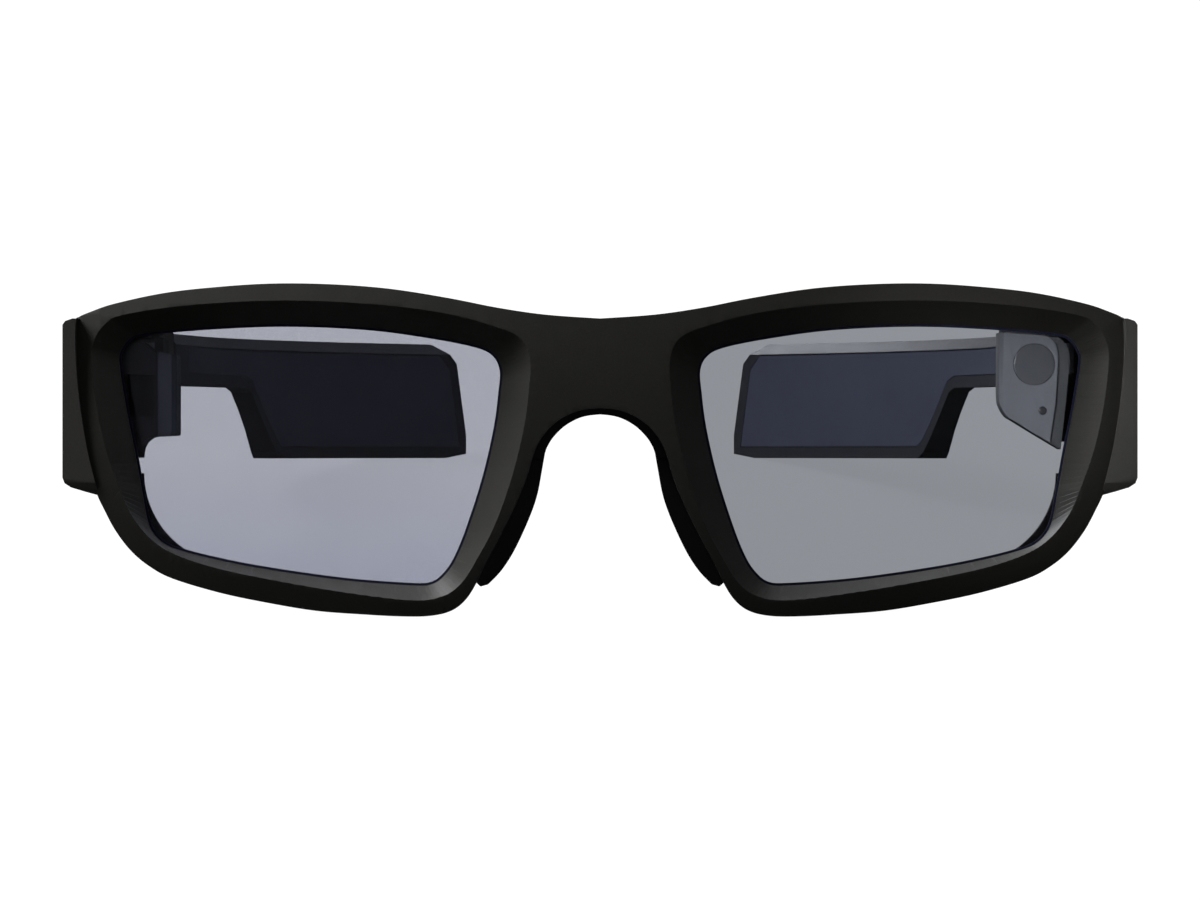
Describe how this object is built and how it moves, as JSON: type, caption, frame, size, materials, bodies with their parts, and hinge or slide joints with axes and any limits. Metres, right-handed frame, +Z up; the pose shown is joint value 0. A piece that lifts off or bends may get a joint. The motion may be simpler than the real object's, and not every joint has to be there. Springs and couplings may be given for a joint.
{
  "type": "smart glasses",
  "caption": "Wrap-round black smart glasses with tinted lenses, a display block behind one lens, a camera panel behind the other and thick electronics pods on sprung temples.",
  "frame": {"origin": "bottom centre of the bounding box, on the surface the glasses stand on", "axes": "+Z up, the front faces -Y, the temples run towards +Y and +X is the wearer's left"},
  "size_m": [0.152, 0.1671, 0.0469],
  "materials": {
    "aluminium": "satin",
    "black_rubber": "matte",
    "board_green": "satin",
    "chip_black": "satin",
    "clear_glass": "polished",
    "copper": "satin",
    "cover_black": "satin",
    "frame_black": "fine matte",
    "led_white": "satin",
    "lens_grey": "polished",
    "ribbon": "satin",
    "smoke_window": "polished",
    "steel": "satin",
    "temple_black": "fine matte"
  },
  "bodies": {
    "front": {"front_frame": "frame_black", "rear_frame": "frame_black", "right_lens": "lens_grey", "left_lens": "lens_grey", "lens_gaskets": "black_rubber", "waveguide": "clear_glass", "waveguide_seal": "black_rubber", "bridge_flex": "ribbon", "microphones": "aluminium", "nose_saddle": "black_rubber", "nose_pins": "steel", "frame_screws": "steel", "corner_screws": "steel", "right_corner_shell": "frame_black", "right_corner_cover": "cover_black", "display_housing": "cover_black", "display_cap": "cover_black", "fold_prism": "clear_glass", "projection_lens": "clear_glass", "microdisplay": "chip_black", "heat_spreader": "copper", "display_board": "board_green", "left_corner_shell": "frame_black", "left_corner_cover": "cover_black", "camera_housing": "cover_black", "camera_plate": "cover_black", "camera_window": "smoke_window", "camera_barrel": "chip_black", "camera_sensor": "board_green", "status_led": "led_white", "right_hinge_bracket": "steel", "left_hinge_bracket": "steel", "hinge_pins": "steel"},
    "right_temple": {"right_temple_shell": "temple_black", "right_temple_cover": "cover_black", "right_hinge_leaf": "steel", "right_hinge_spring": "steel", "right_temple_flex": "ribbon", "right_speaker": "chip_black", "right_battery": "aluminium", "main_board": "board_green", "board_chips": "chip_black", "power_switch": "chip_black", "usb_port": "aluminium"},
    "left_temple": {"left_temple_shell": "temple_black", "left_temple_cover": "cover_black", "left_hinge_leaf": "steel", "left_hinge_spring": "steel", "left_temple_flex": "ribbon", "left_speaker": "chip_black", "left_battery": "aluminium", "left_board": "board_green"},
    "power_button": {"power_button": "temple_black"},
    "right_nose_pad": {"right_nose_pad": "black_rubber"},
    "left_nose_pad": {"left_nose_pad": "black_rubber"}
  },
  "joints": [
    {"name": "right_temple_hinge", "type": "hinge", "parent": "front", "child": "right_temple", "pos_m": [-0.06525, -0.04102, 0.03188], "axis": [0, 0.1422, 0.9898], "range_deg": [-8, 18], "stiffness_Nm_per_rad": 0.4},
    {"name": "left_temple_hinge", "type": "hinge", "parent": "front", "child": "left_temple", "pos_m": [0.06525, -0.04102, 0.03188], "axis": [0, 0.1422, 0.9898], "range_deg": [-18, 8], "stiffness_Nm_per_rad": 0.4},
    {"name": "right_nose_pad_bend", "type": "hinge", "parent": "front", "child": "right_nose_pad", "pos_m": [-0.0115, -0.07079, 0.02434], "axis": [0, 0.9898, -0.1422], "range_deg": [-5, 5]},
    {"name": "left_nose_pad_bend", "type": "hinge", "parent": "front", "child": "left_nose_pad", "pos_m": [0.0115, -0.07079, 0.02434], "axis": [0, 0.9898, -0.1422], "range_deg": [-5, 5]},
    {"name": "power_button_press", "type": "slide", "parent": "right_temple", "child": "power_button", "axis": [0, 0.1422, 0.9898], "range_m": [0, 0.0004], "stiffness_N_per_m": 500, "springref_m": -0.0004}
  ]
}
